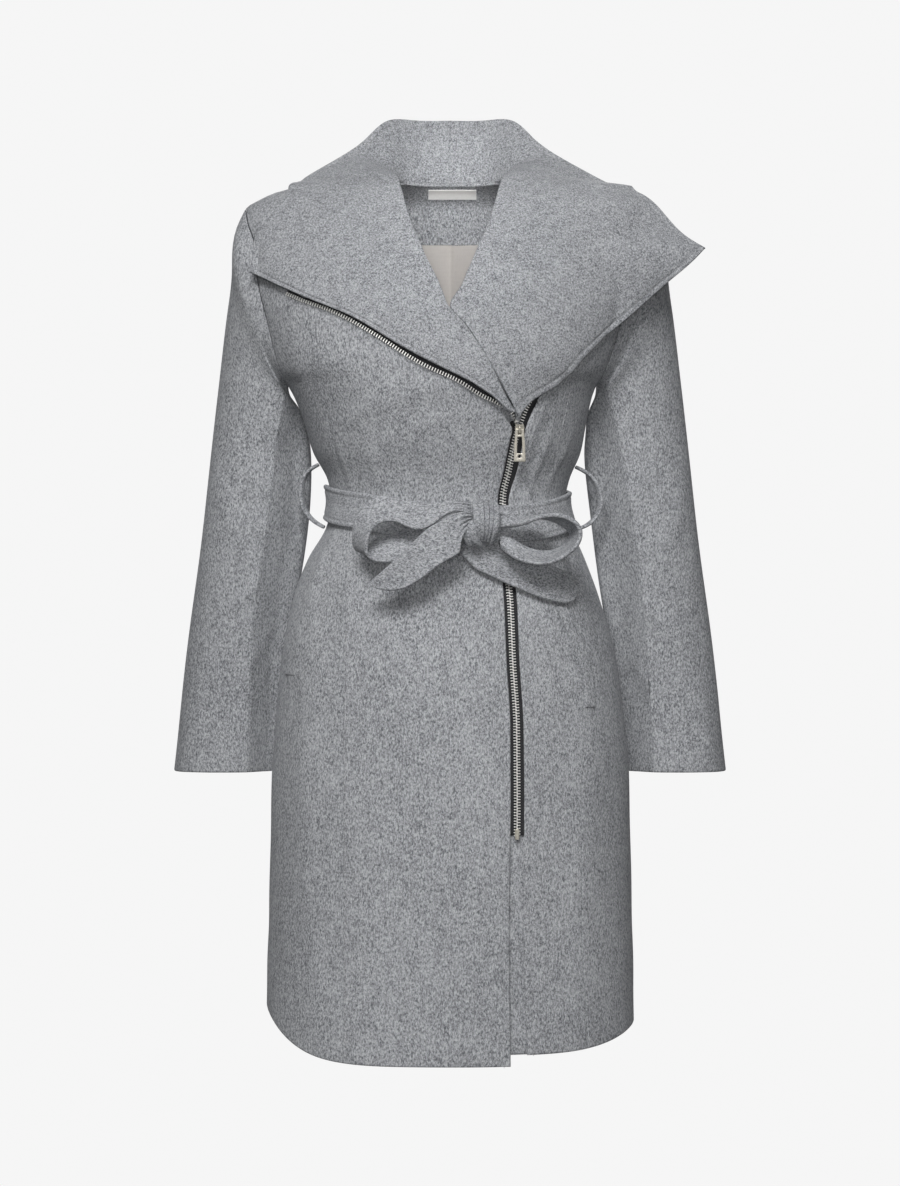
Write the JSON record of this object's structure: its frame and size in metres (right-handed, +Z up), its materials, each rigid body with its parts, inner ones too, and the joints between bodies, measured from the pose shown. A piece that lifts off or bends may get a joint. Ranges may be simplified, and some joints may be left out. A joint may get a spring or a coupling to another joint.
{
  "type": "knee-length coat",
  "caption": "Knee-length fitted wool coat with a slanting open-ended front zip, wide fold-back lapels, and a tied belt through side carriers.",
  "frame": {"origin": "between the shoulders at the base of the neck, level with the wearer's shoulder line", "axes": "+Z up, the wearer faces -Y, and +X is towards the wearer's left"},
  "size_m": [0.576, 0.2843, 0.968],
  "materials": {
    "wool": "salt-and-pepper melange wool with a short brushed nap",
    "lining": "smooth satin",
    "label": "plain woven",
    "zip_tape": "matt woven tape",
    "teeth": "bright metal",
    "nickel": "polished pale nickel"
  },
  "bodies": {
    "coat": {"right_front_centre": "wool", "right_front_side": "wool", "left_front_centre": "wool", "left_front_side": "wool", "underlap": "wool", "back_right": "wool", "back_left": "wool", "right_upper_sleeve": "wool", "left_upper_sleeve": "wool", "right_under_sleeve": "wool", "left_under_sleeve": "wool", "right_collar": "wool", "left_collar": "wool", "back_neck_facing": "wool", "right_pocket_facing": "wool", "left_pocket_facing": "wool", "belt_band": "wool", "belt_knot": "wool", "right_belt_loop": "wool", "left_belt_loop": "wool", "right_belt_tail": "wool", "left_belt_tail": "wool", "right_belt_carrier": "wool", "left_belt_carrier": "wool", "back_lining": "lining", "neck_label": "label", "right_zip_tape": "zip_tape", "left_zip_tape": "zip_tape", "right_zip_teeth": "teeth", "left_zip_teeth": "teeth", "zip_slider": "nickel", "zip_end_stop": "nickel"},
    "pull": {"zip_pull": "nickel"}
  },
  "joints": [
    {"name": "pull_tab", "type": "hinge", "parent": "coat", "child": "pull", "pos_m": [0.06949, -0.10697, -0.25221], "axis": [-1, 0, 0], "range_deg": [-8, 120]}
  ]
}
